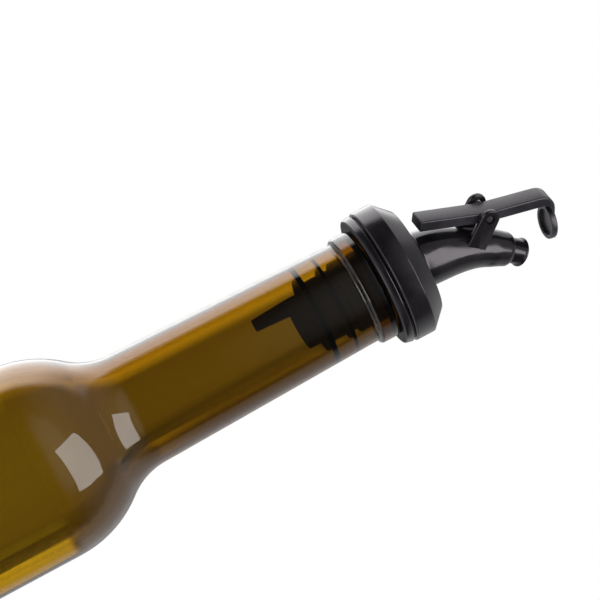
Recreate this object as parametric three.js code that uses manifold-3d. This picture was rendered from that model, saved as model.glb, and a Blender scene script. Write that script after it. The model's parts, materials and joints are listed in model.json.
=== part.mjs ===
// Oil and vinegar bottle: a slender glass bottle with a plug-in plastic pourer and a see-saw shut-off lever.
// Millimetres, +Z up. The origin is at the middle of the base, on the bottle's axis.
// The spout leans towards +X, and the lever is shown open.

import * as THREE from 'three';
import { mergeVertices } from 'three/addons/utils/BufferGeometryUtils.js';
import Module from 'manifold-3d';

const wasm = await Module();
wasm.setup();

const degrees = Math.PI / 180;

// Bottle, outside
const bottleHeight = 252;
const bodyRadius = 24.5;
const baseEdgeRadius = 4;
const footRadius = 15.5;
const puntDepth = 3;
const shoulderRadius = 28;
const neckFilletRadius = 16;
const neckLength = 59;
const neckTaper = 1.45 * degrees;
const neckTopRadius = 12.85;
const collarHeight = 5.4;
const collarRadius = 13.95;
const lipRounding = 0.8;

// Bottle, inside
const mouthRadius = 9.25;
const boreTaper = 1.25 * degrees;
const boreFloor = 187.6;
const boreFilletRadius = 19.7;
const insideShoulderRadius = 24.8;
const insideBodyRadius = 21.3;
const floorThickness = 7;
const insideCornerRadius = 7;

// Stopper: a flange on the mouth and a finned plug in the neck
const fitGap = 0.3;
const flangeRadius = 16.9;
const flangeBackRadius = 16.6;
const flangeThickness = 2.2;
const flangeBackEdge = 0.5;
const flangeEdge = 0.3;
const plugRadius = 7.7;
const plugEndRadius = 7;
const plugLength = 21.2;
const plugStep = 17.6;
const plugEndRounding = 1;
const finGap = 0.25;
const fins = [
  { depth: 1.4, thickness: 0.7 },
  { depth: 2.9, thickness: 0.7 },
  { depth: 6.4, thickness: 2 },
  { depth: 10.3, thickness: 1.1 },
  { depth: 15.6, thickness: 2 },
];
const finRootSlope = 0.6;
const finEdgeSlope = 0.4;

// Cap of the pourer and the spigot that holds it in the stopper
const capGap = 0.45;
const capRadius = 17.2;
const capStraight = 5.05;
const capTop = 4.05;
const capTopRadius = 13.5;
const capRecess = 1.6;
const capEdge = 0.4;
const spigotRadius = 5.2;
const spigotLength = 9;
const spigotBoreRadius = 3.6;

// Spout
const spoutBaseRadius = 7.1;
const spoutWaistRadius = 4.7;
const spoutWaist = 20;
const spoutBaseX = 0.4;
const spoutBaseLean = 9 * degrees;
const spoutEndRadius = 4.15;
const spoutBendRadius = 44;
const spoutBend = 46 * degrees;
const spoutStraight = 0.7;
const tipLength = 4.2;
const tipRadius = 3.2;
const tipLip = 0.6;
const tipLipRadius = 3.6;
const spoutBoreRadius = 3.3;
const tipBoreRadius = 2.5;
const spoutStep = 2.2;

// Ears that carry the lever
const pivotX = -3.75;
const pivotHeight = 31.45;
const earInside = 3.2;
const earThickness = 1.25;
const earTopRadius = 2.5;
const earFootWidth = 5.4;
const earLean = 47 * degrees;
const earLength = 9.8;
const pivotHoleRadius = 1.15;

// Lever, drawn with the pivot at its origin and the spout's tip direction, as when shut, along its height
const leverOpen = 29.7 * degrees;
const leverWidth = 5.2;
const leverThickness = 2.8;
const leverTopAbovePivot = 0.95;
const leverBackLength = 17.45;
const leverBackSlope = 7.64 * degrees;
const leverFrontSlope = -0.45 * degrees;
const hookRadius = 4;
const trunnionRadius = 0.85;
const trunnionEnd = 4.2;
const cupRadius = 4.3;
const cupBoreRadius = 3.35;
const cupDepth = 0.9;
const cupHeight = 1.6;
const sealGap = 0.3;

// Breather tube below the plug
const breatherOffset = 4.3;
const breatherTurn = 155 * degrees;
const breatherTop = 12;
const breatherEnd = 30.6;
const breatherTopRadius = 2.05;
const breatherEndRadius = 1.5;
const breatherBoreRadius = 0.8;
const breatherEdge = 0.2;
const flowOffset = 2.5;
const flowRadius = 3.4;

// Facets
const glassSides = 44;
const roundSides = 36;
const smallSides = 16;
const pinSides = 12;
const spoutSides = 26;
const arcStep = 12 * degrees;

// How far a cutting or joining shape runs past the face it crosses
const overrun = 1;

const point = (x, y) => new THREE.Vector2(x, y);

// Points on a circle from one angle to another, in the plane of a profile.
function arc(centreX, centreY, radius, from, to) {
  const steps = Math.max(2, Math.ceil(Math.abs(to - from) / arcStep));
  return Array.from({ length: steps + 1 }, (_, i) => {
    const angle = from + ((to - from) * i) / steps;
    return point(centreX + radius * Math.cos(angle), centreY + radius * Math.sin(angle));
  });
}

// A closed mesh with shared vertices and no flat triangles.
function weld(geometry) {
  const plain = geometry.clone();
  plain.deleteAttribute('normal');
  plain.deleteAttribute('uv');
  const merged = mergeVertices(plain, 1e-4);
  const index = merged.index.array;
  const kept = [];
  for (let i = 0; i < index.length; i += 3) {
    const [a, b, c] = [index[i], index[i + 1], index[i + 2]];
    if (a !== b && b !== c && c !== a) kept.push(a, b, c);
  }
  merged.setIndex(kept);
  return merged;
}

function solid(geometry) {
  const merged = weld(geometry);
  return new wasm.Manifold(new wasm.Mesh({
    numProp: 3,
    vertProperties: new Float32Array(merged.attributes.position.array),
    triVerts: new Uint32Array(merged.index.array),
  }));
}

function geometryOf(manifold) {
  const mesh = manifold.getMesh();
  const geometry = new THREE.BufferGeometry();
  geometry.setAttribute('position', new THREE.BufferAttribute(new Float32Array(mesh.vertProperties), 3));
  geometry.setIndex(Array.from(mesh.triVerts));
  geometry.computeVertexNormals();
  return geometry;
}

// Turns a profile of radius and height round the Z axis.
function turned(profile, sides) {
  return new THREE.LatheGeometry(profile, sides).rotateX(Math.PI / 2);
}

function rod(radius, from, to, sides) {
  return turned([point(0, from), point(radius, from), point(radius, to), point(0, to)], sides);
}

// A flat outline in the XZ plane, thickened along Y from one side to the other.
function plate(outline, from, to) {
  const shape = new THREE.Shape(outline);
  const geometry = new THREE.ExtrudeGeometry(shape, { depth: to - from, bevelEnabled: false });
  return geometry.rotateX(Math.PI / 2).translate(0, to, 0);
}

function node(name, geometry, colour, roughness, transparency = 0) {
  const material = new THREE.MeshStandardMaterial({ color: colour, roughness, metalness: 0 });
  material.transparent = transparency > 0;
  material.opacity = 1 - transparency;
  const mesh = new THREE.Mesh(weld(geometry), material);
  mesh.name = name;
  return mesh;
}

// Bottle

// The outside of the glass, from the middle of the base up to the mouth.
function glassOutside() {
  const puntCurve = (footRadius ** 2 + puntDepth ** 2) / (2 * puntDepth);
  const puntSpread = Math.asin(footRadius / puntCurve);
  const neckFoot = bottleHeight - collarHeight;
  const collarStep = collarRadius - neckTopRadius;
  const neckBottom = neckFoot - neckLength;
  const neckBottomRadius = neckTopRadius + neckLength * Math.tan(neckTaper);
  const filletX = neckBottomRadius + neckFilletRadius * Math.cos(neckTaper);
  const filletY = neckBottom + neckFilletRadius * Math.sin(neckTaper);
  const shoulderX = bodyRadius - shoulderRadius;
  const bothRadii = shoulderRadius + neckFilletRadius;
  const shoulderSlope = Math.acos((filletX - shoulderX) / bothRadii);
  const bodyTop = filletY - bothRadii * Math.sin(shoulderSlope);
  return [
    ...arc(0, puntDepth - puntCurve, puntCurve, Math.PI / 2, Math.PI / 2 - puntSpread),
    ...arc(bodyRadius - baseEdgeRadius, baseEdgeRadius, baseEdgeRadius, -Math.PI / 2, 0),
    ...arc(shoulderX, bodyTop, shoulderRadius, 0, shoulderSlope),
    ...arc(filletX, filletY, neckFilletRadius, Math.PI + shoulderSlope, Math.PI + neckTaper).slice(1),
    ...arc(neckTopRadius, neckFoot + collarStep, collarStep, -Math.PI / 2, 0),
    ...arc(collarRadius - lipRounding, bottleHeight - fitGap - lipRounding, lipRounding, 0, Math.PI / 2),
  ];
}

// The inside of the glass, from the mouth down to the middle of the floor.
function glassInside() {
  const mouth = bottleHeight - fitGap;
  const boreFootRadius = mouthRadius + (mouth - boreFloor) * Math.tan(boreTaper);
  const filletX = boreFootRadius + boreFilletRadius * Math.cos(boreTaper);
  const filletY = boreFloor + boreFilletRadius * Math.sin(boreTaper);
  const shoulderX = insideBodyRadius - insideShoulderRadius;
  const bothRadii = insideShoulderRadius + boreFilletRadius;
  const insideSlope = Math.acos((filletX - shoulderX) / bothRadii);
  const shoulderY = filletY - bothRadii * Math.sin(insideSlope);
  const corner = insideBodyRadius - insideCornerRadius;
  return [
    point(mouthRadius + lipRounding, mouth),
    ...arc(mouthRadius + lipRounding, mouth - lipRounding, lipRounding, Math.PI / 2, Math.PI).slice(1),
    ...arc(filletX, filletY, boreFilletRadius, Math.PI + boreTaper, Math.PI + insideSlope),
    ...arc(shoulderX, shoulderY, insideShoulderRadius, insideSlope, 0).slice(1),
    ...arc(corner, floorThickness + insideCornerRadius, insideCornerRadius, 0, -Math.PI / 2),
    point(0, floorThickness),
  ];
}

// The neck's inner radius at a height, which the fins of the stopper follow.
const boreRadius = (height) => mouthRadius + (bottleHeight - fitGap - height) * Math.tan(boreTaper);

const bottle = node('bottle', turned([...glassOutside(), ...glassInside()], glassSides), 0x6b4d0c, 0.08, 0.4);

// Stopper

function stopperProfile() {
  const mouth = bottleHeight;
  const flangeTop = mouth + flangeThickness;
  const plugEnd = mouth - plugLength;
  const profile = [
    point(0, plugEnd),
    ...arc(plugEndRadius - plugEndRounding, plugEnd + plugEndRounding, plugEndRounding, -Math.PI / 2, 0),
    point(plugEndRadius, mouth - plugStep),
  ];
  for (const { depth, thickness } of [...fins].reverse()) {
    const top = mouth - depth;
    const bottom = top - thickness;
    const edge = boreRadius(top) - finGap;
    profile.push(
      point(plugRadius, bottom - finRootSlope),
      point(edge - finEdgeSlope, bottom),
      point(edge, top - thickness / 2),
      point(edge, top),
      point(plugRadius, top),
    );
  }
  profile.push(
    point(plugRadius, mouth),
    point(flangeBackRadius - flangeBackEdge, mouth),
    point(flangeBackRadius, mouth + flangeBackEdge),
    point(flangeRadius, flangeTop - flangeEdge),
    point(flangeRadius - flangeEdge, flangeTop),
    point(0, flangeTop),
  );
  return profile;
}

function drilled(radius, offset, turn, from, to) {
  const [x, y] = [offset * Math.cos(turn), offset * Math.sin(turn)];
  return solid(rod(radius, from, to, smallSides).translate(x, y, 0));
}

function makeStopper() {
  const mouth = bottleHeight;
  const flangeTop = mouth + flangeThickness;
  const below = mouth - plugLength - overrun;
  const socketFloor = flangeTop - spigotLength - fitGap;
  const breatherSeat = mouth - breatherTop + fitGap;
  const body = solid(turned(stopperProfile(), roundSides))
    .subtract(solid(rod(spigotRadius + fitGap, socketFloor, flangeTop + overrun, roundSides)))
    .subtract(drilled(flowRadius, flowOffset, breatherTurn + Math.PI, below, socketFloor + overrun))
    .subtract(drilled(breatherTopRadius + fitGap, breatherOffset, breatherTurn, below, breatherSeat));
  return node('stopper', geometryOf(body), 0x17161a, 0.45);
}

// Breather tube

function makeBreather() {
  const top = bottleHeight - breatherTop;
  const plugEnd = bottleHeight - plugLength;
  const end = bottleHeight - breatherEnd;
  const profile = [
    point(breatherBoreRadius, end),
    point(breatherEndRadius - breatherEdge, end),
    point(breatherEndRadius, end + breatherEdge),
    point(breatherTopRadius, plugEnd),
    point(breatherTopRadius, top),
    point(breatherBoreRadius, top),
    point(breatherBoreRadius, end),
  ];
  const tube = node('breather_tube', turned(profile, smallSides), 0x1a191d, 0.45);
  tube.position.set(breatherOffset * Math.cos(breatherTurn), breatherOffset * Math.sin(breatherTurn), 0);
  return tube;
}

// Pourer: cap, spout, spigot and ears in one moulding

const capFoot = bottleHeight + flangeThickness + capGap;
const capHead = capFoot + capStraight + capTop;
const bendLength = spoutBendRadius * (spoutBend - spoutBaseLean);
const spoutLength = bendLength + spoutStraight;

// The middle of the spout, and the way it runs there, at a distance from the cap's top.
function spoutLine(distance) {
  if (distance < 0) return { middle: point(spoutBaseX, capHead + distance), turn: 0 };
  const onBend = Math.min(distance, bendLength);
  const turn = spoutBaseLean + onBend / spoutBendRadius;
  const middle = point(
    spoutBaseX + spoutBendRadius * (Math.cos(spoutBaseLean) - Math.cos(turn)),
    capHead + spoutBendRadius * (Math.sin(turn) - Math.sin(spoutBaseLean)),
  );
  const along = point(Math.sin(turn), Math.cos(turn));
  return { middle: middle.addScaledVector(along, distance - onBend), turn };
}

// Carries a straight turned shape, whose height is a distance from the cap's top, along the spout.
function bent(geometry) {
  const position = geometry.attributes.position;
  for (let i = 0; i < position.count; i++) {
    const across = position.getX(i);
    const { middle, turn } = spoutLine(position.getZ(i));
    position.setX(i, middle.x + across * Math.cos(turn));
    position.setZ(i, middle.y - across * Math.sin(turn));
  }
  return geometry;
}

function spoutStations(from, to) {
  const steps = Math.ceil((to - from) / spoutStep);
  return Array.from({ length: steps + 1 }, (_, i) => from + ((to - from) * i) / steps);
}

function spoutOutside() {
  const shoulder = spoutLength - tipLength;
  const radiusAt = (distance) => {
    if (distance > spoutWaist) {
      return THREE.MathUtils.mapLinear(distance, spoutWaist, shoulder, spoutWaistRadius, spoutEndRadius);
    }
    const narrowed = THREE.MathUtils.smoothstep(distance, 0, spoutWaist);
    return THREE.MathUtils.lerp(spoutBaseRadius, spoutWaistRadius, narrowed);
  };
  return [
    point(0, -capTop),
    point(spoutBaseRadius, -capTop),
    ...spoutStations(0, shoulder).map((distance) => point(radiusAt(distance), distance)),
    point(tipRadius, shoulder),
    point(tipRadius, spoutLength - tipLip),
    point(tipLipRadius, spoutLength - tipLip),
    point(tipLipRadius, spoutLength),
    point(0, spoutLength),
  ];
}

function spoutBore(spigotFoot) {
  const foot = spigotFoot - overrun - capHead;
  const tipFoot = spoutLength - tipLength;
  const narrowing = spigotBoreRadius - spoutBoreRadius;
  const radiusAt = (distance) => spigotBoreRadius - narrowing * (distance / tipFoot);
  return [
    point(0, foot),
    point(spigotBoreRadius, foot),
    ...spoutStations(0, tipFoot - overrun).map((distance) => point(radiusAt(distance), distance)),
    ...spoutStations(tipFoot, spoutLength + overrun).map((distance) => point(tipBoreRadius, distance)),
    point(0, spoutLength + overrun),
  ];
}

function capProfile() {
  const bossFoot = bottleHeight + flangeThickness + fitGap;
  return [
    point(0, bossFoot),
    point(capRadius - capRecess, bossFoot),
    point(capRadius - capRecess, capFoot),
    point(capRadius - capEdge, capFoot),
    point(capRadius, capFoot + capEdge),
    point(capRadius, capFoot + capStraight),
    point(capTopRadius, capHead - capEdge),
    point(capTopRadius - capEdge, capHead),
    point(0, capHead),
  ];
}

const pivot = point(pivotX, bottleHeight + pivotHeight);

// The ear's outline: round at the pivot, widening to its foot inside the spout's wall.
function earOutline() {
  const rise = point(-Math.sin(earLean), Math.cos(earLean));
  const side = point(rise.y, -rise.x);
  const riseAngle = Math.atan2(rise.y, rise.x);
  const foot = pivot.clone().addScaledVector(rise, -earLength);
  return [
    foot.clone().addScaledVector(side, earFootWidth / 2),
    ...arc(pivot.x, pivot.y, earTopRadius, riseAngle - Math.PI / 2, riseAngle + Math.PI / 2),
    foot.clone().addScaledVector(side, -earFootWidth / 2),
  ];
}

function pinAlongY(radius, from, to, centre) {
  return rod(radius, from, to, pinSides).rotateX(-Math.PI / 2).translate(centre.x, 0, centre.y);
}

function makePourer() {
  const earOutside = earInside + earThickness;
  const spigotFoot = bottleHeight + flangeThickness - spigotLength + fitGap;
  const outline = earOutline();
  const body = solid(turned(capProfile(), roundSides))
    .add(solid(rod(spigotRadius, spigotFoot, capFoot + overrun, roundSides)))
    .add(solid(bent(turned(spoutOutside(), spoutSides))))
    .add(solid(plate(outline, earInside, earOutside)))
    .add(solid(plate(outline, -earOutside, -earInside)))
    .subtract(solid(bent(turned(spoutBore(spigotFoot), smallSides))))
    .subtract(solid(pinAlongY(pivotHoleRadius, -earOutside - overrun, earOutside + overrun, pivot)));
  return node('pourer', geometryOf(body), 0x1c1b1f, 0.35);
}

// Lever: bar, hook, seal cup and the two trunnions

// Where the rim of the seal cup stands when shut, measured from the pivot across and along the spout's tip.
function sealPlace() {
  const tip = spoutLine(spoutLength).middle.sub(pivot);
  const along = point(Math.sin(spoutBend), Math.cos(spoutBend));
  const across = point(along.y, -along.x);
  return point(tip.dot(across), tip.dot(along) + sealGap);
}

function leverOutline(seal) {
  const top = -leverTopAbovePivot;
  const hookTop = seal.y + cupHeight;
  const hookInside = seal.y + cupDepth;
  const frontX = (height) => top + height * Math.tan(leverFrontSlope);
  const bendY = hookTop - hookRadius;
  const backX = top - leverBackLength * Math.tan(leverBackSlope);
  const backTurn = leverThickness * Math.sin(leverBackSlope);
  const backDeep = leverThickness * Math.cos(leverBackSlope);
  return [
    point(backX, -leverBackLength),
    point(backX + backDeep, -leverBackLength - backTurn),
    point(top + leverThickness, 0),
    point(frontX(hookInside) + leverThickness, hookInside),
    point(seal.x, hookInside),
    point(seal.x, hookTop),
    ...arc(frontX(bendY) + hookRadius, bendY, hookRadius, Math.PI / 2, Math.PI),
    point(top, 0),
  ];
}

function makeLever() {
  const seal = sealPlace();
  const half = leverWidth / 2;
  const centre = point(0, 0);
  const hookTop = seal.y + cupHeight;
  const cup = rod(cupRadius, seal.y, hookTop, roundSides).translate(seal.x, 0, 0);
  const hollow = rod(cupBoreRadius, seal.y - overrun, seal.y + cupDepth, roundSides).translate(seal.x, 0, 0);
  const body = solid(plate(leverOutline(seal), -half, half))
    .add(solid(cup))
    .subtract(solid(hollow))
    .add(solid(pinAlongY(trunnionRadius, -trunnionEnd, trunnionEnd, centre)));
  const lever = node('lever', geometryOf(body), 0x1c1b1f, 0.3);
  lever.position.set(pivot.x, 0, pivot.y);
  lever.rotation.y = spoutBend - leverOpen;
  return lever;
}

const part = new THREE.Group();
part.add(bottle, makeStopper(), makeBreather(), makePourer(), makeLever());

export default part;
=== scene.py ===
import json
import math

import bpy
from mathutils import Matrix, Vector


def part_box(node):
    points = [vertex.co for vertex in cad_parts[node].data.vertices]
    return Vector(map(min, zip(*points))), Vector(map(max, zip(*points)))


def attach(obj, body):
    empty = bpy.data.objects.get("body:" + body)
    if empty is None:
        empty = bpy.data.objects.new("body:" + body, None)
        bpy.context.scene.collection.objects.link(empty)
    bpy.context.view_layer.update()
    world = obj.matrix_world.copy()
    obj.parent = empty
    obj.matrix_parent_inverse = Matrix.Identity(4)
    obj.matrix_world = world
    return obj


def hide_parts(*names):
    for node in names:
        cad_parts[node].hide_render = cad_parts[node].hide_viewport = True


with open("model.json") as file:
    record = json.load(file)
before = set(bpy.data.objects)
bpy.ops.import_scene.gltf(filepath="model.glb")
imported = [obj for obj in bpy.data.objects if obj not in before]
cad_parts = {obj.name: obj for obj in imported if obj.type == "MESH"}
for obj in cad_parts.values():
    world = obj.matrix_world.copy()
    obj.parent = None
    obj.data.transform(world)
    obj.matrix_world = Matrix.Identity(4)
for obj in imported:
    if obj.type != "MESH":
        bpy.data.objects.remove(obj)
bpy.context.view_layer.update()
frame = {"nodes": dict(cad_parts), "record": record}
mm = 0.001  # the pieces' sizes below are in millimetres, materials and studio in metres
print("frame loaded:", sorted(frame["nodes"]))


# camera at the photo's viewing angle: rolled, because the bottle stands upright here

photoCamera = {
    "place": (-422.63, -486.18, 163.34),
    "right": (0.29353, -0.37908, 0.87757),
    "down": (0.70394, -0.53539, -0.46672),
    "lens": 162.0,
    "sensor": 36.0,
    "clip": (0.01, 50.0),
}


def addCamera(look):
    right = Vector(look["right"]).normalized()
    down = Vector(look["down"]).normalized()
    back = right.cross(-down)
    bpy.ops.object.camera_add()
    camera = bpy.context.object
    turn = Matrix((right, -down, back)).transposed().to_4x4()
    camera.matrix_world = Matrix.Translation(Vector(look["place"]) * mm) @ turn
    camera.data.lens = look["lens"]
    camera.data.sensor_width = look["sensor"]
    camera.data.clip_start, camera.data.clip_end = look["clip"]
    bpy.context.scene.camera = camera


addCamera(photoCamera)
print("camera set")


# points of outlines, in millimetres


def fromMetres(value):
    return round(value / mm, 3)


def at(x, z, y=0.0):  # a point in metres
    return Vector((x, y, z)) * mm


def arc(x, z, radius, start, end, step):  # angles in degrees, in the XZ plane
    count = max(2, math.ceil(abs(end - start) / step))
    angles = [math.radians(start + (end - start) * i / count) for i in range(count + 1)]
    return [(x + radius * math.cos(a), z + radius * math.sin(a)) for a in angles]


def straight(start, end, inset=0.6):  # extra rings near both ends keep the shading even between them
    length = math.dist(start, end)
    share = inset / length
    return [tuple(a + (b - a) * t for a, b in zip(start, end)) for t in (share, 0.5, 1 - share)]


def spread(start, end, step):  # even steps, no longer than the one given
    count = max(1, math.ceil((end - start) / step))
    return [start + (end - start) * i / count for i in range(count + 1)]


def aroundAxis(offset, turn):
    return offset * math.cos(math.radians(turn)), offset * math.sin(math.radians(turn))


# small modelling steps that the pieces share


def deselectAll():
    if bpy.context.object and bpy.context.object.mode == "EDIT":
        bpy.ops.object.mode_set(mode="OBJECT")
    bpy.ops.object.select_all(action="DESELECT")


def pick(piece):  # the one piece that the next operators act on
    deselectAll()
    bpy.context.view_layer.objects.active = piece
    piece.select_set(True)


def named(name):  # the primitive that was just added
    piece = bpy.context.object
    piece.name = name
    piece.data.name = name
    return piece


def drawLine(name, points):  # one vertex, extruded from point to point
    deselectAll()
    bpy.ops.mesh.primitive_plane_add(size=mm)
    piece = named(name)
    bpy.ops.object.mode_set(mode="EDIT")
    bpy.ops.mesh.merge(type="CENTER")
    bpy.ops.transform.translate(value=points[0])
    for here, there in zip(points, points[1:]):
        bpy.ops.mesh.extrude_vertices_move(TRANSFORM_OT_translate={"value": there - here})
    return piece


def cleanMesh(distance=0.002):
    bpy.ops.mesh.select_all(action="SELECT")
    bpy.ops.mesh.remove_doubles(threshold=distance * mm)
    bpy.ops.mesh.normals_make_consistent(inside=False)
    bpy.ops.object.mode_set(mode="OBJECT")


def turnedPiece(name, outline, steps, axis=(0.0, 0.0)):  # outline of (radius, height), spun round the axis
    piece = drawLine(name, [at(x, z) for x, z in outline])
    bpy.ops.mesh.select_all(action="SELECT")
    bpy.ops.mesh.spin(steps=steps, angle=math.tau, center=(0, 0, 0), axis=(0, 0, 1))
    cleanMesh()
    if any(axis):
        bpy.ops.object.mode_set(mode="EDIT")
        bpy.ops.mesh.select_all(action="SELECT")
        bpy.ops.transform.translate(value=at(axis[0], 0, axis[1]))
        bpy.ops.object.mode_set(mode="OBJECT")
    return piece


def rodPiece(name, radius, low, high, axis, steps=48):
    return turnedPiece(name, [(0, low), (radius, low), (radius, high), (0, high)], steps, axis)


def platePiece(name, outline, low, high):  # outline of (x, z), thickened along Y
    piece = drawLine(name, [at(x, z, low) for x, z in outline])
    bpy.ops.mesh.select_all(action="SELECT")
    bpy.ops.mesh.edge_face_add()
    bpy.ops.mesh.extrude_region_move(TRANSFORM_OT_translate={"value": at(0, 0, high - low)})
    cleanMesh()
    return piece


def pinPiece(name, radius, low, high, middle, rim=0.15, sides=48):  # a round pin along Y with softened ends
    deselectAll()
    bpy.ops.mesh.primitive_cylinder_add(vertices=sides, radius=radius * mm, depth=(high - low) * mm)
    piece = named(name)
    bpy.ops.object.mode_set(mode="EDIT")
    bpy.ops.mesh.select_all(action="SELECT")
    bpy.ops.transform.rotate(value=math.pi / 2, orient_axis="X", center_override=(0, 0, 0))
    bpy.ops.transform.translate(value=at(middle[0], middle[1], (low + high) / 2))
    bpy.ops.object.mode_set(mode="OBJECT")
    soften(piece, rim)
    return piece


def applyModifier(piece, kind, **settings):
    pick(piece)
    made = piece.modifiers.new(kind.title(), kind)
    for key, value in settings.items():
        setattr(made, key, value)
    bpy.ops.object.modifier_apply(modifier=made.name)


def soften(piece, width, segments=3, angle=30.0):
    applyModifier(
        piece, "BEVEL", width=width * mm, segments=segments, limit_method="ANGLE",
        angle_limit=math.radians(angle), use_clamp_overlap=True,
    )


def join(piece, other, operation="UNION"):
    applyModifier(piece, "BOOLEAN", object=other, operation=operation, solver="EXACT")
    bpy.data.objects.remove(other)


def cut(piece, other):
    join(piece, other, "DIFFERENCE")


def closeMesh(distance=0.003, slitSides=6):  # joins and cuts leave doubles, slivers and slits
    bpy.ops.object.mode_set(mode="EDIT")
    bpy.ops.mesh.select_all(action="SELECT")
    bpy.ops.mesh.remove_doubles(threshold=distance * mm)
    bpy.ops.mesh.select_all(action="SELECT")
    bpy.ops.mesh.fill_holes(sides=slitSides)
    bpy.ops.mesh.select_all(action="SELECT")
    bpy.ops.mesh.dissolve_degenerate(threshold=distance * mm)
    bpy.ops.object.mode_set(mode="OBJECT")


def finishPiece(piece, body, node, material, angle=32.0):
    pick(piece)
    closeMesh()
    bpy.ops.object.shade_smooth_by_angle(angle=math.radians(angle))
    piece.data.materials.clear()
    piece.data.materials.append(material)
    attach(piece, body)
    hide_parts(node)
    print("made", piece.name, len(piece.data.polygons), "faces")


# shader wiring: sockets as values in Python expressions


class Wire:
    def __init__(self, tree, socket=None):
        self.tree = tree
        self.socket = socket

    def add(self, kind, settings=None, sockets=None, output=0):
        node = self.tree.nodes.new(kind)
        for key, value in (settings or {}).items():
            setattr(node, key, value)
        for key, value in (sockets or {}).items():
            if isinstance(value, Wire):
                self.tree.links.new(value.socket, node.inputs[key])
            else:
                node.inputs[key].default_value = value
        return Wire(self.tree, node.outputs[output] if node.outputs else None)

    def maths(self, operation, first, second):
        return self.add("ShaderNodeMath", {"operation": operation}, {0: first, 1: second})

    def __add__(self, other):
        return self.maths("ADD", self, other)

    def __radd__(self, other):
        return self.maths("ADD", other, self)

    def __sub__(self, other):
        return self.maths("SUBTRACT", self, other)

    def __rsub__(self, other):
        return self.maths("SUBTRACT", other, self)

    def __mul__(self, other):
        return self.maths("MULTIPLY", self, other)

    def __rmul__(self, other):
        return self.maths("MULTIPLY", other, self)

    def eased(self, low, high):
        sockets = {"Value": self, "From Min": low, "From Max": high}
        return self.add("ShaderNodeMapRange", {"interpolation_type": "SMOOTHSTEP"}, sockets)


def blend(first, second, share):
    return first + (second - first) * share


def emptyTree(owner):  # of a material, a light or the world
    owner.use_nodes = True
    owner.node_tree.nodes.clear()
    return Wire(owner.node_tree)


def newMaterial(name):
    material = bpy.data.materials.new(name)
    return material, emptyTree(material)


def objectPlace(wire, stretch=(1, 1, 1)):  # the piece's own coordinates
    place = wire.add("ShaderNodeTexCoord", output="Object")
    return wire.add("ShaderNodeMapping", None, {"Vector": place, "Scale": stretch})


def noise(wire, place, scale, detail, roughness):
    sockets = {"Vector": place, "Scale": scale, "Detail": detail, "Roughness": roughness}
    return wire.add("ShaderNodeTexNoise", None, sockets)


def relief(wire, height, strength, depth):
    sockets = {"Strength": strength, "Distance": depth, "Height": height}
    return wire.add("ShaderNodeBump", None, sockets)


def colourMix(wire, share, low, high):  # 6 and 7 are the node's colour sockets
    return wire.add("ShaderNodeMix", {"data_type": "RGBA"}, {0: share, 6: low, 7: high}, output=2)


# glass: clear, with the amber-olive colour in its depth

bottleGlass = {
    "ior": 1.52,
    "absorbs": (0.80, 0.706, 0.10),
    "density": 1000.0,
    "streakStretch": (900.0, 900.0, 22.0),
    "streakNoise": (0.35, 2.0, 0.45),  # scale, detail, roughness
    "waviness": 0.035,
    "waveDepth": 0.001,
}


def makeGlass(look):
    material, wire = newMaterial("bottleGlass")
    streaks = noise(wire, objectPlace(wire, look["streakStretch"]), *look["streakNoise"])
    surface = wire.add(
        "ShaderNodeBsdfPrincipled", None,
        {
            "Base Color": (1, 1, 1, 1), "Roughness": 0.0, "IOR": look["ior"], "Transmission Weight": 1.0,
            "Normal": relief(wire, streaks, look["waviness"], look["waveDepth"]),
        },
    )
    depth = wire.add(
        "ShaderNodeVolumeAbsorption", None,
        {"Color": (*look["absorbs"], 1), "Density": look["density"]},
    )
    wire.add("ShaderNodeOutputMaterial", None, {"Surface": surface, "Volume": depth})
    return material


# black moulded plastic: a faint grain and uneven gloss, dull where it is shut in the neck

plasticSurface = {
    "cloudNoise": (140.0, 3.0, 0.55),  # scale, detail, roughness
    "grainNoise": (2600.0, 2.0, 0.5),
    "grainDepth": 0.0002,
    "patchEdges": (0.36, 0.66),
    "patchShare": 0.7,  # of the uneven gloss, the rest is grain
    "ior": 1.5,
    "tint": (1.0, 0.93, 1.0, 1.0),
    "dullFade": 0.0003,
}

plasticLooks = {
    "stopper": {
        "low": (0.0045, 0.0040, 0.0050), "high": (0.0085, 0.0078, 0.0094),
        "rough": (0.11, 0.22), "grain": 0.03, "dullBelow": 0.2519,
    },
    "pourer": {
        "low": (0.0045, 0.0040, 0.0050), "high": (0.0085, 0.0076, 0.0094),
        "rough": (0.12, 0.22), "grain": 0.04, "dullBelow": None,
    },
    "lever": {
        "low": (0.013, 0.0120, 0.0145), "high": (0.024, 0.0220, 0.0270),
        "rough": (0.26, 0.42), "grain": 0.06, "dullBelow": None,
    },
}


def dullInNeck(wire, gloss, look):
    height = wire.add("ShaderNodeSeparateXYZ", None, {0: objectPlace(wire)}, output="Z")
    share = height.eased(look["dullBelow"], look["dullBelow"] + plasticSurface["dullFade"])
    dull = wire.add("ShaderNodeBsdfDiffuse", None, {"Color": (*look["low"], 1)})
    return wire.add("ShaderNodeMixShader", None, {0: share, 1: dull, 2: gloss})


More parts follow.
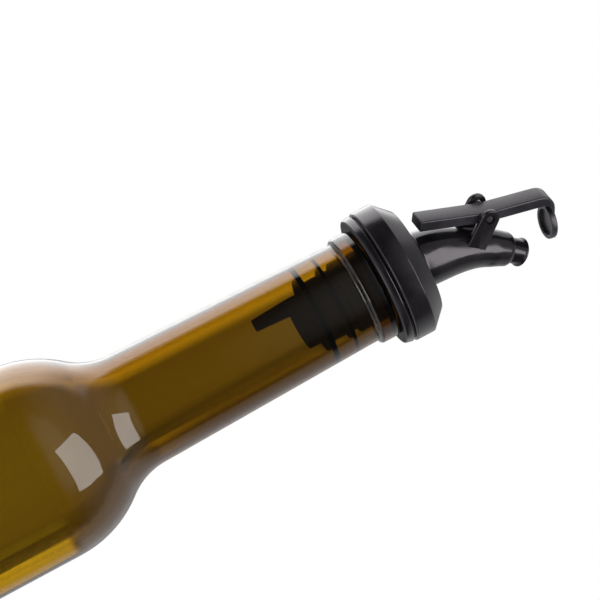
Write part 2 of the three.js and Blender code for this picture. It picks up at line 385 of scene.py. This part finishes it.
def makePlastic(name):
    look = plasticLooks[name]
    base = plasticSurface
    material, wire = newMaterial(name + "Plastic")
    patches = noise(wire, objectPlace(wire), *base["cloudNoise"]).eased(*base["patchEdges"])
    grain = noise(wire, objectPlace(wire), *base["grainNoise"])
    low, high = look["rough"]
    share = base["patchShare"]
    surface = wire.add(
        "ShaderNodeBsdfPrincipled", None,
        {
            "Base Color": colourMix(wire, patches, (*look["low"], 1), (*look["high"], 1)),
            "Roughness": low + (high - low) * (share * patches + (1 - share) * grain),
            "IOR": base["ior"], "Specular Tint": base["tint"],
            "Normal": relief(wire, grain, look["grain"], base["grainDepth"]),
        },
    )
    if look["dullBelow"]:
        surface = dullInNeck(wire, surface, look)
    wire.add("ShaderNodeOutputMaterial", None, {"Surface": surface})
    return material


glassMaterial = makeGlass(bottleGlass)
stopperMaterial = makePlastic("stopper")
pourerMaterial = makePlastic("pourer")
leverMaterial = makePlastic("lever")
print("materials made")


# bottle: collar, tapered neck, rounded shoulder, straight body, hollow

bottleSizes = {
    "mouth": 252.0,
    "gap": -0.03,  # the flange presses on the lip
    "bodyRadius": fromMetres(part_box("bottle")[1][0]),
    "heel": 4.0,
    "footRadius": 15.5,
    "punt": 3.0,
    "shoulderRadius": 28.0,
    "neckFillet": 16.0,
    "neckLength": 59.0,
    "neckTaper": 1.45,
    "neckTop": 12.85,
    "collarHeight": 5.4,
    "collarRadius": 13.95,
    "collarRoot": 0.25,
    "lip": 0.8,
    "innerLip": 0.12,
    "mouthRadius": 9.25,
    "boreTaper": 1.25,
    "boreFloor": 187.6,
    "boreFillet": 19.7,
    "insideShoulder": 24.8,
    "insideRadius": 21.3,
    "floor": 7.0,
    "insideCorner": 7.0,
    "curveStep": 2.0,  # degrees from point to point of the large curves, the corners and the edges
    "cornerStep": 7.0,
    "insideStep": 6.0,
    "edgeStep": 9.0,
    "innerLipStep": 30.0,
    "smoothAngle": 50.0,
    "steps": 144,
}


def glassOutside(size):
    taper = math.radians(size["neckTaper"])
    puntCurve = (size["footRadius"] ** 2 + size["punt"] ** 2) / (2 * size["punt"])
    puntSpread = math.degrees(math.asin(size["footRadius"] / puntCurve))
    neckFoot = size["mouth"] - size["collarHeight"]
    neckBottom = neckFoot - size["neckLength"]
    neckRadius = size["neckTop"] + size["neckLength"] * math.tan(taper)
    filletX = neckRadius + size["neckFillet"] * math.cos(taper)
    filletZ = neckBottom + size["neckFillet"] * math.sin(taper)
    shoulderX = size["bodyRadius"] - size["shoulderRadius"]
    bothRadii = size["shoulderRadius"] + size["neckFillet"]
    slope = math.degrees(math.acos((filletX - shoulderX) / bothRadii))
    bodyTop = filletZ - bothRadii * math.sin(math.radians(slope))
    step = size["collarRadius"] - size["neckTop"]
    root = size["collarRoot"]
    lipTop = size["mouth"] - size["gap"] - size["lip"]
    curve = size["curveStep"]
    edge = size["edgeStep"]
    heel = arc(size["bodyRadius"] - size["heel"], size["heel"], size["heel"], -90, 0, size["cornerStep"])
    shoulder = arc(shoulderX, bodyTop, size["shoulderRadius"], 0, slope, curve)
    fillet = arc(filletX, filletZ, size["neckFillet"], 180 + slope, 180 + size["neckTaper"], curve)
    collar = arc(size["neckTop"] + root, neckFoot + step, step - root, -90, 0, edge)
    lip = arc(size["collarRadius"] - size["lip"], lipTop, size["lip"], 0, 90, edge)
    return [
        *arc(0, size["punt"] - puntCurve, puntCurve, 90, 90 - puntSpread, curve),
        *heel,
        *straight(heel[-1], shoulder[0]),
        *shoulder,
        *fillet[1:],
        *straight(fillet[-1], (size["neckTop"], neckFoot)),
        (size["neckTop"], neckFoot),
        *collar,
        *straight(collar[-1], lip[0]),
        *lip,
    ]


def glassInside(size):
    mouth = size["mouth"] - size["gap"]
    taper = math.radians(size["boreTaper"])
    boreFoot = size["mouthRadius"] + (mouth - size["boreFloor"]) * math.tan(taper)
    filletX = boreFoot + size["boreFillet"] * math.cos(taper)
    filletZ = size["boreFloor"] + size["boreFillet"] * math.sin(taper)
    shoulderX = size["insideRadius"] - size["insideShoulder"]
    bothRadii = size["insideShoulder"] + size["boreFillet"]
    slope = math.degrees(math.acos((filletX - shoulderX) / bothRadii))
    shoulderZ = filletZ - bothRadii * math.sin(math.radians(slope))
    soft = size["innerLip"]
    curve = size["curveStep"]
    corner = size["insideRadius"] - size["insideCorner"]
    cornerZ = size["floor"] + size["insideCorner"]
    lip = arc(size["mouthRadius"] + soft, mouth - soft, soft, 90, 180, size["innerLipStep"])
    fillet = arc(filletX, filletZ, size["boreFillet"], 180 + size["boreTaper"], 180 + slope, curve)
    shoulder = arc(shoulderX, shoulderZ, size["insideShoulder"], slope, 0, curve)
    heel = arc(corner, cornerZ, size["insideCorner"], 0, -90, size["insideStep"])
    return [
        *lip,
        *straight(lip[-1], fillet[0]),
        *fillet,
        *shoulder[1:],
        *straight(shoulder[-1], heel[0]),
        *heel,
        (corner / 2, size["floor"]),
        (0, size["floor"]),
    ]


def boreRadius(height):  # of the neck's inside
    size = bottleSizes
    depth = size["mouth"] - size["gap"] - height
    return size["mouthRadius"] + depth * math.tan(math.radians(size["boreTaper"]))


glassOutline = [*glassOutside(bottleSizes), *glassInside(bottleSizes)]
bottle = turnedPiece("glassBottle", glassOutline, bottleSizes["steps"])
finishPiece(bottle, "bottle", "bottle", glassMaterial, bottleSizes["smoothAngle"])


# stopper: flange on the mouth, plug with fins in the neck, breather tube

stopperSizes = {
    "mouth": bottleSizes["mouth"],
    "flangeRadius": 16.9,
    "flangeBack": 16.6,
    "flangeThickness": 2.2,
    "flangeEdge": 0.45,
    "plugRadius": 8.0,
    "plugEnd": 7.0,
    "plugLength": 21.2,
    "plugRounding": 0.7,
    "plugStep": (18.0, 17.7),  # depths between which the plug's end widens
    "fins": ((0.0, 8.4), (10.3, 1.1), (15.6, 2.0)),  # depth and thickness
    "finPress": 0.03,  # the soft fins press on the glass
    "finRoot": 0.3,
    "finBack": 0.1,
    "finEdge": 0.2,
    "finUnder": 0.05,
    "socketRadius": 5.5,
    "socketDepth": 9.3,
    "flowOffset": 2.5,
    "flowRadius": 3.4,
    "flatTurn": 139.4,
    "flatHeight": 5.6,
    "flatTop": 17.95,
    "grooveTop": 4.0,
    "grooveWidth": 0.45,
    "grooveDepth": 0.6,
    "cutPast": 1.0,  # how far the cuts run out of the plug
    "cutReach": 12.0,
    "edgeStep": 15.0,
    "finStep": 30.0,
    "steps": 128,
}

breatherSizes = {
    "offset": 4.3,
    "turn": 155.0,
    "top": 12.0,
    "end": 30.6,
    "topRadius": 2.05,
    "endRadius": 1.5,
    "bore": 0.8,
    "rim": 0.2,
    "rimStep": 18.0,
    "seatGap": 0.08,
    "seatRoom": 0.3,
    "steps": 64,
}


def finOutline(size, depth, thickness):
    finTop = size["mouth"] - depth
    finFoot = finTop - thickness
    soft = size["finEdge"]
    rim = boreRadius(finTop) + size["finPress"]
    outline = [
        (size["plugRadius"], finFoot - size["finRoot"]),
        (rim - soft - size["finUnder"], finFoot),
        *arc(rim - soft, finFoot + soft, soft, -90, 0, size["finStep"]),
    ]
    if depth > 0:  # the topmost runs up to the flange
        outline += arc(rim - soft, finTop - soft, soft, 0, 90, size["finStep"])
        outline.append((size["plugRadius"], finTop + size["finBack"]))
    return outline


def stopperOutline(size):
    mouth = size["mouth"]
    top = mouth + size["flangeThickness"]
    end = mouth - size["plugLength"]
    edge = size["flangeEdge"]
    rounding = size["plugRounding"]
    stepFoot, stepTop = size["plugStep"]
    socketFloor = top - size["socketDepth"]
    outline = [
        (0, end),
        *arc(size["plugEnd"] - rounding, end + rounding, rounding, -90, 0, size["edgeStep"]),
        (size["plugEnd"], mouth - stepFoot),
        (size["plugRadius"], mouth - stepTop),
    ]
    for depth, thickness in reversed(size["fins"]):
        outline += finOutline(size, depth, thickness)
    return [
        *outline,
        (boreRadius(mouth) + size["finPress"], mouth),
        *arc(size["flangeBack"] - edge, mouth + edge, edge, -90, 0, size["edgeStep"]),
        *arc(size["flangeRadius"] - edge, top - edge, edge, 0, 90, size["edgeStep"]),
        (size["socketRadius"], top),
        (size["socketRadius"], socketFloor),
        (0, socketFloor),
    ]


def cutBox(name, turn, across, side, heights):  # a box turned to the plug's flat
    deselectAll()
    bpy.ops.mesh.primitive_cube_add(size=mm)
    box = named(name)
    spans = [high - low for low, high in (across, side, heights)]
    middle = [(high + low) / 2 for low, high in (across, side, heights)]
    turned = Matrix.Rotation(math.radians(turn), 4, "Z")
    box.matrix_world = turned @ Matrix.Translation(Vector(middle) * mm) @ Matrix.Diagonal((*spans, 1))
    bpy.ops.object.transform_apply(location=True, rotation=True, scale=True)
    return box


def makeStopper(size, tube):
    mouth = size["mouth"]
    below = mouth - size["plugLength"] - size["cutPast"]
    socketFloor = mouth + size["flangeThickness"] - size["socketDepth"]
    reach = size["cutReach"]
    flat = size["flatHeight"]
    flatSpan = (below, mouth - size["flatTop"])
    grooveSide = math.sqrt(size["plugRadius"] ** 2 - flat ** 2) - size["grooveDepth"]
    grooveAcross = (flat - size["grooveWidth"], flat)
    grooveSpan = (below, mouth - size["grooveTop"])
    flowPlace = aroundAxis(size["flowOffset"], tube["turn"] + 180)
    seatPlace = aroundAxis(tube["offset"], tube["turn"])
    seatRadius = tube["topRadius"] + tube["seatGap"]
    seatTop = mouth - tube["top"] + tube["seatRoom"]
    stopper = turnedPiece("plugStopper", stopperOutline(size), size["steps"])
    cut(stopper, cutBox("flat", size["flatTurn"], (flat, reach), (-reach, reach), flatSpan))
    cut(stopper, cutBox("groove", size["flatTurn"], grooveAcross, (grooveSide, reach), grooveSpan))
    cut(stopper, rodPiece("flow", size["flowRadius"], below, socketFloor + size["cutPast"], flowPlace))
    cut(stopper, rodPiece("seat", seatRadius, below, seatTop, seatPlace))
    return stopper


def breatherOutline(size, plug):
    end = plug["mouth"] - size["end"]
    top = plug["mouth"] - size["top"]
    rim = size["rim"]
    return [
        (size["bore"], end),
        *arc(size["endRadius"] - rim, end + rim, rim, -90, 0, size["rimStep"]),
        (size["topRadius"], plug["mouth"] - plug["plugLength"]),
        (size["topRadius"], top),
        (size["bore"], top),
        (size["bore"], end),
    ]


def makeBreather(size, plug):
    place = aroundAxis(size["offset"], size["turn"])
    return turnedPiece("breatherTube", breatherOutline(size, plug), size["steps"], place)


stopper = makeStopper(stopperSizes, breatherSizes)
finishPiece(stopper, "bottle", "stopper", stopperMaterial)
breather = makeBreather(breatherSizes, stopperSizes)
finishPiece(breather, "bottle", "breather_tube", stopperMaterial)


# pourer: chamfered cap with its spigot, bent spout with a stepped tip, two ears

leverJoint = frame["record"]["behaviour"]["joints"][0]
pivotX, _, pivotZ = leverJoint["pos_m"]

capSizes = {
    "foot": 254.65,
    "bossFoot": 254.5,
    "radius": 17.2,
    "straight": 5.05,
    "top": 4.05,
    "topRadius": 13.5,
    "recess": 1.6,
    "edge": 0.5,
    "ridge": 0.35,
    "ridgeSink": 0.4,  # share of the ridge below the chamfer's foot
    "spigotRadius": 5.2,
    "spigotEdge": 0.4,
    "spigotFoot": 245.5,
    "edgeStep": 15.0,
    "topStep": 12.0,
    "steps": 160,
}

spoutSizes = {
    "baseX": 0.4,
    "baseLean": 9.0,
    "bend": 46.0,
    "bendRadius": 44.0,
    "straight": 0.7,
    "baseRadius": 7.1,
    "waistRadius": 4.7,
    "waist": 20.0,
    "endRadius": 4.15,
    "endRounding": 0.6,
    "footDepth": 2.0,
    "footFlare": 0.7,
    "footRun": 0.4,
    "tipLength": 4.2,
    "tipRadius": 3.2,
    "tipRoot": 0.2,
    "tipRun": 0.9,
    "lip": 0.6,
    "lipRadius": 3.6,
    "lipRise": 0.15,
    "lipEdge": 0.2,
    "boreFoot": 3.6,
    "boreEnd": 3.3,
    "boreTip": 2.5,
    "boreNarrows": 1.0,
    "cutPast": 1.0,  # how far the bore and the pivot's hole are cut past the pourer
    "flareStep": 18.0,
    "roundStep": 15.0,
    "sides": 72,
    "step": 0.8,
}

earSizes = {
    "pivot": (fromMetres(pivotX), fromMetres(pivotZ)),
    "inside": 3.2,
    "thickness": 1.25,
    "topRadius": 2.5,
    "topStep": 7.5,
    "footWidth": 5.4,
    "lean": 47.0,
    "length": 9.8,
    "hole": 1.15,
    "holeRim": 0.01,
    "edge": 0.28,
}

capHead = capSizes["foot"] + capSizes["straight"] + capSizes["top"]
spoutBendLength = spoutSizes["bendRadius"] * math.radians(spoutSizes["bend"] - spoutSizes["baseLean"])
spoutLength = spoutBendLength + spoutSizes["straight"]
spoutShoulder = spoutLength - spoutSizes["tipLength"]


def capOutline(size):
    shoulder = size["foot"] + size["straight"]
    edge = size["edge"]
    ridge = size["ridge"]
    ridgeZ = shoulder - ridge * size["ridgeSink"]
    slope = math.degrees(math.atan2(size["radius"] - size["topRadius"], size["top"]))
    return [
        (0, size["spigotFoot"]),
        (size["spigotRadius"] - size["spigotEdge"], size["spigotFoot"]),
        (size["spigotRadius"], size["spigotFoot"] + size["spigotEdge"]),
        (size["spigotRadius"], size["bossFoot"]),
        (size["radius"] - size["recess"], size["bossFoot"]),
        (size["radius"] - size["recess"], size["foot"]),
        *arc(size["radius"] - edge, size["foot"] + edge, edge, -90, 0, size["edgeStep"]),
        *arc(size["radius"] - ridge, ridgeZ, ridge, 0, slope, size["edgeStep"]),
        *arc(size["topRadius"] - edge, capHead - edge, edge, slope, 90, size["topStep"]),
        (0, capHead),
    ]


def spoutLine(distance):  # middle of the spout and its lean, at a distance from the cap's top
    size = spoutSizes
    if distance < 0:
        return (size["baseX"], capHead + distance), 0.0
    onBend = min(distance, spoutBendLength)
    start = math.radians(size["baseLean"])
    turn = start + onBend / size["bendRadius"]
    x = size["baseX"] + size["bendRadius"] * (math.cos(start) - math.cos(turn))
    z = capHead + size["bendRadius"] * (math.sin(turn) - math.sin(start))
    beyond = distance - onBend
    return (x + beyond * math.sin(turn), z + beyond * math.cos(turn)), turn


def spoutRadius(distance):
    size = spoutSizes
    if distance > size["waist"]:
        share = (distance - size["waist"]) / (spoutShoulder - size["waist"])
        return size["waistRadius"] + (size["endRadius"] - size["waistRadius"]) * share
    share = max(distance, 0) / size["waist"]
    eased = share * share * (3 - 2 * share)
    return size["baseRadius"] + (size["waistRadius"] - size["baseRadius"]) * eased


def footStations(size):  # the flare on the cap's top
    flare = size["footFlare"]
    rings = [(-size["footDepth"], size["baseRadius"] + flare)]
    for turn in spread(0, 90, size["flareStep"]):
        rise = flare * (1 - math.cos(math.radians(turn)))
        rings.append((rise, spoutRadius(rise) + flare * (1 - math.sin(math.radians(turn)))))
    return rings


def tipStations(size):  # the stepped tip and its lip
    tip = size["tipRadius"]
    root = size["tipRoot"]
    edge = size["lipEdge"]
    lipFoot = spoutLength - size["lip"]
    neck = spread(spoutShoulder + size["tipRun"], lipFoot - size["lipRise"], size["step"])
    return [
        (spoutShoulder, tip + root),
        (spoutShoulder + root, tip),
        *[(s, tip) for s in neck],
        (lipFoot, size["lipRadius"] - edge),
        (lipFoot + size["lipRise"], size["lipRadius"]),
        (spoutLength - edge, size["lipRadius"]),
        (spoutLength, size["lipRadius"] - edge),
    ]


def spoutStations(size):  # distance and radius of every ring of the outside
    rounding = size["endRounding"]
    roundFoot = spoutShoulder - rounding
    bend = spread(size["footFlare"] + size["footRun"], roundFoot, size["step"])
    ends = arc(0, 0, rounding, 0, 90, size["roundStep"])
    return [
        *footStations(size),
        *[(s, spoutRadius(s)) for s in bend],
        *[(roundFoot + z, size["endRadius"] - rounding + x) for x, z in ends[1:]],
        *tipStations(size),
    ]


def boreStations(size):
    start = capSizes["spigotFoot"] - size["cutPast"] - capHead
    narrowing = size["boreEnd"] - size["boreFoot"]
    bend = spread(0, spoutShoulder - size["boreNarrows"], size["step"] * 2)
    tip = spread(spoutShoulder, spoutLength + size["cutPast"], size["step"])
    return [
        (start, size["boreFoot"]),
        *[(s, size["boreFoot"] + narrowing * s / spoutShoulder) for s in bend],
        *[(s, size["boreTip"]) for s in tip],
    ]


def sweptPiece(name, stations, sides):  # a circle extruded ring by ring along the spout
    deselectAll()
    bpy.ops.mesh.primitive_circle_add(vertices=sides, radius=mm, fill_type="NGON")
    piece = named(name)
    bpy.ops.object.mode_set(mode="EDIT")
    bpy.ops.mesh.select_all(action="SELECT")
    place, turn, width = Vector((0, 0, 0)), 0.0, 1.0
    for index, (distance, radius) in enumerate(stations):
        (x, z), lean = spoutLine(distance)
        there = at(x, z)
        if index == 0:
            bpy.ops.transform.translate(value=there - place)
        else:
            bpy.ops.mesh.extrude_region_move(TRANSFORM_OT_translate={"value": there - place})
        bpy.ops.transform.rotate(value=turn - lean, orient_axis="Y", center_override=there)
        bpy.ops.transform.resize(value=(radius / width,) * 3, center_override=there)
        place, turn, width = there, lean, radius
    cleanMesh()
    return piece


def earOutline(size):
    lean = math.radians(size["lean"])
    rise = Vector((-math.sin(lean), math.cos(lean)))
    side = Vector((rise.y, -rise.x))
    pivot = Vector(size["pivot"])
    foot = pivot - rise * size["length"]
    upward = math.degrees(math.atan2(rise.y, rise.x))
    return [
        tuple(foot + side * size["footWidth"] / 2),
        *arc(*pivot, size["topRadius"], upward - 90, upward + 90, size["topStep"]),
        tuple(foot - side * size["footWidth"] / 2),
    ]


def makePourer(cap, spout, ears):
    inside = ears["inside"]
    outside = inside + ears["thickness"]
    past = outside + spout["cutPast"]
    pourer = turnedPiece("spoutPourer", capOutline(cap), cap["steps"])
    join(pourer, sweptPiece("spout", spoutStations(spout), spout["sides"]))
    for name, low, high in (("nearEar", -outside, -inside), ("farEar", inside, outside)):
        ear = platePiece(name, earOutline(ears), low, high)
        soften(ear, ears["edge"])
        join(pourer, ear)
    cut(pourer, sweptPiece("bore", boreStations(spout), spout["sides"]))
    cut(pourer, pinPiece("hole", ears["hole"], -past, past, ears["pivot"], ears["holeRim"]))
    return pourer


pourer = makePourer(capSizes, spoutSizes, earSizes)
finishPiece(pourer, "bottle", "pourer", pourerMaterial)


# lever: bar, hook, seal cup and the two pivot pins, open

leverSizes = {
    "open": leverJoint["range_deg"][1],
    "width": 5.2,
    "thickness": 2.8,
    "topAbovePivot": 0.95,
    "backLength": 17.45,
    "backSlope": 7.64,
    "frontSlope": -0.45,
    "hookRadius": 4.0,
    "hookStep": 7.5,
    "hookInside": 2.0,
    "insideStep": 10.0,
    "hookSink": 0.06,  # the hook's faces lie just off the cup's
    "underSink": 0.15,
    "pinRadius": 0.85,
    "pinEnd": 4.2,
    "cupRadius": 4.3,
    "cupBore": 3.35,
    "cupDepth": 0.9,
    "cupHeight": 1.6,
    "cupRim": 0.22,
    "rimStep": 22.5,
    "cupEdge": 0.35,
    "cupStep": 18.0,
    "cutPast": 1.0,
    "sealGap": 0.3,
    "edge": 0.4,
    "edgeSegments": 4,
    "steps": 100,
}


def sealPlace(gap):  # where the shut cup's rim stands, from the pivot: across and along the spout's tip
    (x, z), lean = spoutLine(spoutLength)
    tip = Vector((x, z)) - Vector(earSizes["pivot"])
    along = Vector((math.sin(lean), math.cos(lean)))
    across = Vector((along.y, -along.x))
    return tip.dot(across), tip.dot(along) + gap


def leverOutline(size, sealX, sealZ):  # shut, from the pivot
    top = -size["topAbovePivot"]
    under = top + size["thickness"]
    hookTop = sealZ + size["cupHeight"] - size["hookSink"]
    hookUnder = sealZ + size["cupDepth"] - size["underSink"]
    slope = math.tan(math.radians(size["frontSlope"]))
    bendZ = hookTop - size["hookRadius"]
    bendX = top + slope * bendZ + size["hookRadius"]
    inside = size["hookInside"]
    insideX = under + slope * hookUnder + inside
    back = math.radians(size["backSlope"])
    backX = top - size["backLength"] * math.tan(back)
    thick = size["thickness"]
    backUnder = (backX + thick * math.cos(back), -size["backLength"] - thick * math.sin(back))
    return [
        (backX, -size["backLength"]),
        backUnder,
        (under, 0),
        *arc(insideX, hookUnder - inside, inside, 180, 90, size["insideStep"]),
        (sealX, hookUnder),
        (sealX, hookTop),
        *arc(bendX, bendZ, size["hookRadius"], 90, 180, size["hookStep"]),
        (top, 0),
    ]


def cupOutline(size, rim):
    top = rim + size["cupHeight"]
    floor = rim + size["cupDepth"]
    soft = size["cupRim"]
    edge = size["cupEdge"]
    return [
        (0, floor),
        (size["cupBore"] - soft, floor),
        (size["cupBore"], floor - soft),
        *arc(size["cupBore"] + soft, rim + soft, soft, 180, 270, size["rimStep"]),
        *arc(size["cupRadius"] - soft, rim + soft, soft, -90, 0, size["rimStep"]),
        *arc(size["cupRadius"] - edge, top - edge, edge, 0, 90, size["cupStep"]),
        (0, top),
    ]


def hollowOutline(size, rim):  # clears the hook out of the cup
    foot = rim - size["cutPast"]
    floor = rim + size["cupDepth"]
    return [(0, foot), (size["cupBore"], foot), (size["cupBore"], floor), (0, floor)]


def makeLever(size):
    sealX, sealZ = sealPlace(size["sealGap"])
    half = size["width"] / 2
    lever = platePiece("seesawLever", leverOutline(size, sealX, sealZ), -half, half)
    soften(lever, size["edge"], size["edgeSegments"])
    join(lever, turnedPiece("cup", cupOutline(size, sealZ), size["steps"], (sealX, 0)))
    cut(lever, turnedPiece("hollow", hollowOutline(size, sealZ), size["steps"], (sealX, 0)))
    join(lever, pinPiece("pins", size["pinRadius"], -size["pinEnd"], size["pinEnd"], (0, 0)))
    pick(lever)
    lever.rotation_euler = (0, math.radians(spoutSizes["bend"] - size["open"]), 0)
    lever.location = at(*earSizes["pivot"])
    bpy.ops.object.transform_apply(location=True, rotation=True, scale=True)
    return lever


lever = makeLever(leverSizes)
finishPiece(lever, "lever", "lever", leverMaterial)


# studio: pale floor, white surround, soft boxes

floorLook = {
    "radius": 2.0,
    "sides": 96,
    "colour": (0.82, 0.82, 0.83, 1),
    "roughness": 0.6,
}

softBoxes = {
    "aim": (0, 0, 0.22),
    "boxes": {
        "frontBox": {
            "shape": "RECTANGLE", "toward": (-0.18, -0.75, 0.64), "distance": 1.1,
            "width": 1.15, "height": 0.62, "power": 10.0, "fade": 0.0,
        },
        "lowBox": {
            "shape": "RECTANGLE", "toward": (-0.50, -0.72, -0.46), "distance": 0.42,
            "width": 0.36, "height": 0.16, "power": 0.6, "fade": 0.0,
        },
        "frontCard": {  # its edge fades, so the glass shows no outline of it
            "shape": "ELLIPSE", "toward": (-0.651, -0.759, 0.413), "distance": 0.757,
            "width": 2.24, "height": 0.48, "power": 0.88, "fade": 0.6,
        },
    },
}

surround = {
    "forward": (0.647, 0.755, 0.110),  # the photo's view
    "upward": (-0.759, 0.651, 0.0),  # up across the bottle in the photo
    "farThrough": (-0.10, 0.25),  # where the front turns into the back
    "farMirrored": (0.05, 0.28),
    # each light is a pair: what shines through the glass, what the surfaces mirror
    "front": (0.35, 0.05),
    "frontHigh": (0.70, 0.40),
    "frontRise": (0.10, 0.70),
    "behind": (0.45, 0.45),
    "above": (1.9, 2.9),
    "aboveEdge": (0.14, 0.36),
    "aboveFade": (0.35, 0.75),
    "aboveLoss": 0.75,
    # bands down across the bottle: the light, and where it starts and is full
    "backBands": (
        ((0.27, 0.45), (0.10, 0.17)),
        ((0.42, 0.70), (0.30, 0.42)),
        ((0.12, 0.45), (0.80, 0.98)),
    ),
    "tableBands": (
        ((0.03, 0.50), (0.15, 0.19)),
        ((2.4, 0.50), (0.28, 0.33)),
        ((2.3, 0.08), (0.66, 0.82)),
    ),
    "tableLevel": (-0.075, 0.03),
    "tableEdge": (0.12, 0.16),
    "tableGreen": 0.18,
}


def addFloor(look):
    deselectAll()
    bpy.ops.mesh.primitive_circle_add(vertices=look["sides"], radius=look["radius"], fill_type="NGON")
    floor = named("floor")
    material, wire = newMaterial("paleFloor")
    sockets = {"Base Color": look["colour"], "Roughness": look["roughness"]}
    surface = wire.add("ShaderNodeBsdfPrincipled", None, sockets)
    wire.add("ShaderNodeOutputMaterial", None, {"Surface": surface})
    floor.data.materials.append(material)


def fadeEdge(light, share):  # from the middle of the light, 0, to its edge, 1
    wire = emptyTree(light)
    place = wire.add("ShaderNodeNewGeometry", output="Parametric")
    centred = {0: place, 1: (2, 2, 0), 2: (-1, -1, 0)}
    offset = wire.add("ShaderNodeVectorMath", {"operation": "MULTIPLY_ADD"}, centred)
    reach = wire.add("ShaderNodeVectorMath", {"operation": "LENGTH"}, {0: offset}, output="Value")
    glow = wire.add("ShaderNodeEmission", None, {"Strength": 1 - reach.eased(1 - share, 1.0)})
    wire.add("ShaderNodeOutputLight", None, {"Surface": glow})


def addSoftBox(name, look, aim):
    toward = Vector(look["toward"]).normalized()
    bpy.ops.object.light_add(type="AREA", location=Vector(aim) + toward * look["distance"])
    box = bpy.context.object
    box.name = name
    box.rotation_euler = toward.to_track_quat("Z", "Y").to_euler()
    box.data.shape = look["shape"]
    box.data.size = look["width"]
    box.data.size_y = look["height"]
    box.data.energy = look["power"]
    if look["fade"]:
        fadeEdge(box.data, look["fade"])
    box.visible_camera = False
    box.visible_transmission = False


def makeWorld(look):
    world = bpy.data.worlds.new("studio")
    bpy.context.scene.world = world
    wire = emptyTree(world)
    direction = wire.add("ShaderNodeTexCoord", output="Generated")
    through = wire.add("ShaderNodeLightPath", output="Is Transmission Ray")
    seen = wire.add("ShaderNodeLightPath", output="Is Camera Ray")

    def along(axis):
        sockets = {0: direction, 1: axis}
        return wire.add("ShaderNodeVectorMath", {"operation": "DOT_PRODUCT"}, sockets, output="Value")

    def shine(pair):
        passed, mirrored = pair
        return blend(mirrored, passed, through)

    def addBands(light, bands):
        for pair, span in bands:
            light = blend(light, shine(pair), downward.eased(*span))
        return light

    forward = along(look["forward"])
    upward = along(look["upward"])
    height = along((0, 0, 1))
    downward = 0 - upward
    far = blend(forward.eased(*look["farMirrored"]), forward.eased(*look["farThrough"]), through)
    front = blend(shine(look["front"]), shine(look["frontHigh"]), height.eased(*look["frontRise"]))
    fading = 1 - look["aboveLoss"] * height.eased(*look["aboveFade"])
    above = blend(shine(look["behind"]), shine(look["above"]), upward.eased(*look["aboveEdge"]) * fading)
    onTable = (0 - height).eased(*look["tableLevel"]) * downward.eased(*look["tableEdge"])
    table = addBands(shine(look["behind"]), look["tableBands"])
    back = blend(addBands(above, look["backBands"]), table, onTable)
    light = blend(front, back, far)
    green = light + look["tableGreen"] * light * onTable * through
    shade = wire.add("ShaderNodeCombineColor", None, {0: light, 1: green, 2: light})
    colour = colourMix(wire, seen, shade, (1, 1, 1, 1))
    background = wire.add("ShaderNodeBackground", None, {"Color": colour, "Strength": 1.0})
    wire.add("ShaderNodeOutputWorld", None, {"Surface": background})


addFloor(floorLook)
for boxName, boxLook in softBoxes["boxes"].items():
    addSoftBox(boxName, boxLook, softBoxes["aim"])
makeWorld(surround)
bpy.context.scene.view_settings.view_transform = "Standard"
print("studio set")
